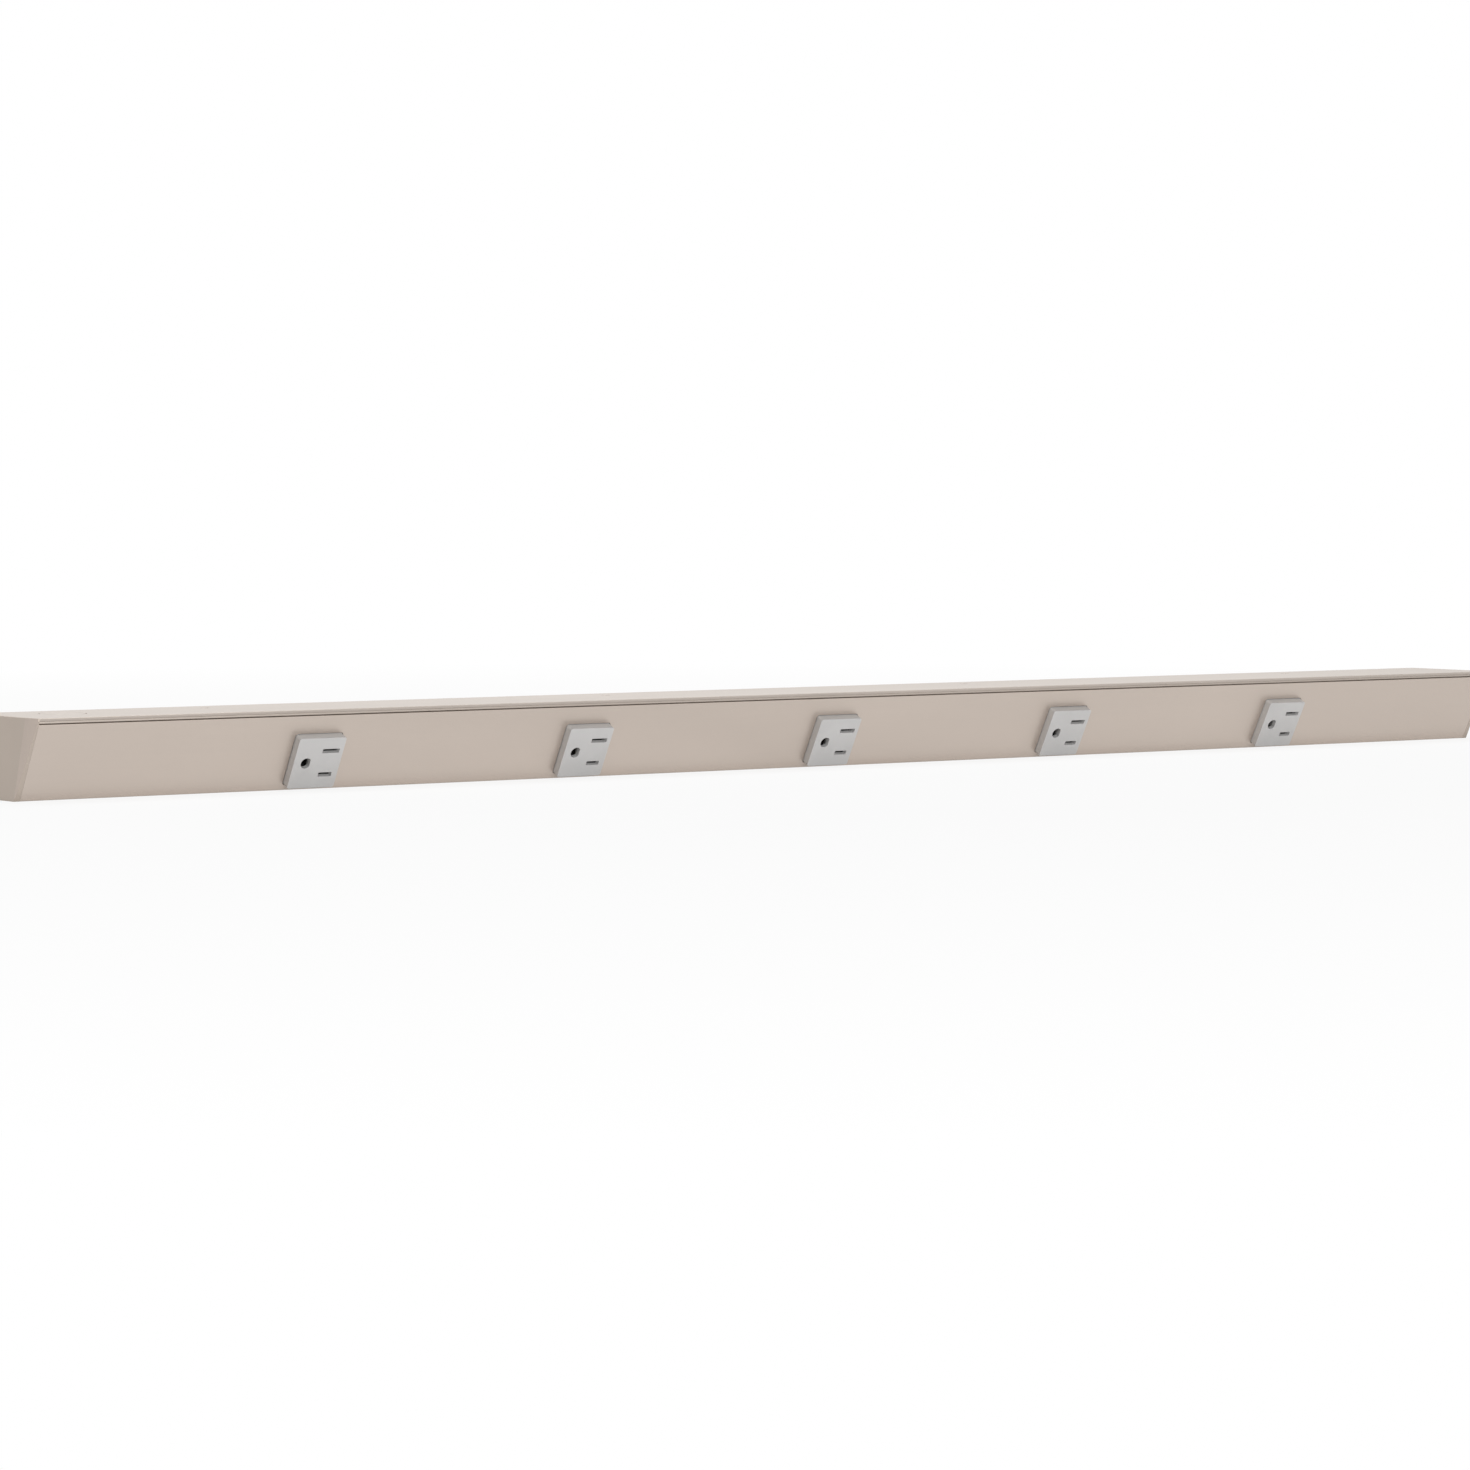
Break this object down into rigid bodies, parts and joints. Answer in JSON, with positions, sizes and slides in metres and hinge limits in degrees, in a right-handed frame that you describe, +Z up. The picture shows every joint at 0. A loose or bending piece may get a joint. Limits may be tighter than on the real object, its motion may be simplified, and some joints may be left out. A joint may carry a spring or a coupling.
{
  "type": "under cabinet power strip",
  "caption": "Long slim power strip with a face that leans back, grounded receptacles along it, flat end caps and a seam under the top edge.",
  "frame": {"origin": "centre of the top face, which goes against the underside of a cabinet", "axes": "+X along the strip, to the right as seen from the front; +Y towards the wall; +Z up, out of the top face"},
  "size_m": [0.9144, 0.0636, 0.0381],
  "materials": {
    "channel": "satin nickel anodised, faint lengthwise grain",
    "cover": "satin nickel anodised, faint lengthwise grain",
    "cap": "satin nickel, fine cast grain",
    "screw": "nickel plated",
    "ground_screw": "green",
    "lug": "tinned",
    "wire_black": "insulation, bare copper at the end",
    "wire_white": "insulation, bare copper at the end",
    "wire_green": "insulation",
    "receptacle_face": "light grey moulding, soft sheen",
    "receptacle_base": "grey moulding",
    "contact": "bright strip",
    "shutter": "grey moulding",
    "spring": "bright strip"
  },
  "bodies": {
    "housing": {"base_channel": "channel", "front_cover": "cover", "end_cap_left": "cap", "end_cap_right": "cap", "end_cap_screws": "screw", "cover_screws": "screw", "ground_screw": "ground_screw", "ground_lug": "lug", "hot_wire": "wire_black", "neutral_wire": "wire_white", "ground_wire": "wire_green", "receptacle_face_1": "receptacle_face", "receptacle_base_1": "receptacle_base", "neutral_contact_1": "contact", "hot_contact_1": "contact", "ground_contact_1": "contact", "shutter_spring_1": "spring", "receptacle_face_2": "receptacle_face", "receptacle_base_2": "receptacle_base", "neutral_contact_2": "contact", "hot_contact_2": "contact", "ground_contact_2": "contact", "shutter_spring_2": "spring", "receptacle_face_3": "receptacle_face", "receptacle_base_3": "receptacle_base", "neutral_contact_3": "contact", "hot_contact_3": "contact", "ground_contact_3": "contact", "shutter_spring_3": "spring", "receptacle_face_4": "receptacle_face", "receptacle_base_4": "receptacle_base", "neutral_contact_4": "contact", "hot_contact_4": "contact", "ground_contact_4": "contact", "shutter_spring_4": "spring", "receptacle_face_5": "receptacle_face", "receptacle_base_5": "receptacle_base", "neutral_contact_5": "contact", "hot_contact_5": "contact", "ground_contact_5": "contact", "shutter_spring_5": "spring"},
    "shutter_1_body": {"shutter_1": "shutter"},
    "shutter_2_body": {"shutter_2": "shutter"},
    "shutter_3_body": {"shutter_3": "shutter"},
    "shutter_4_body": {"shutter_4": "shutter"},
    "shutter_5_body": {"shutter_5": "shutter"}
  },
  "joints": [
    {"name": "shutter_1_slide", "type": "slide", "parent": "housing", "child": "shutter_1_body", "axis": [0, -0.4692, 0.8831], "range_m": [0, 0.0032], "stiffness_N_per_m": 120, "springref_m": -0.001, "deforming": ["shutter_spring_1"]},
    {"name": "shutter_2_slide", "type": "slide", "parent": "housing", "child": "shutter_2_body", "axis": [0, -0.4692, 0.8831], "range_m": [0, 0.0032], "stiffness_N_per_m": 120, "springref_m": -0.001, "deforming": ["shutter_spring_2"]},
    {"name": "shutter_3_slide", "type": "slide", "parent": "housing", "child": "shutter_3_body", "axis": [0, -0.4692, 0.8831], "range_m": [0, 0.0032], "stiffness_N_per_m": 120, "springref_m": -0.001, "deforming": ["shutter_spring_3"]},
    {"name": "shutter_4_slide", "type": "slide", "parent": "housing", "child": "shutter_4_body", "axis": [0, -0.4692, 0.8831], "range_m": [0, 0.0032], "stiffness_N_per_m": 120, "springref_m": -0.001, "deforming": ["shutter_spring_4"]},
    {"name": "shutter_5_slide", "type": "slide", "parent": "housing", "child": "shutter_5_body", "axis": [0, -0.4692, 0.8831], "range_m": [0, 0.0032], "stiffness_N_per_m": 120, "springref_m": -0.001, "deforming": ["shutter_spring_5"]}
  ]
}
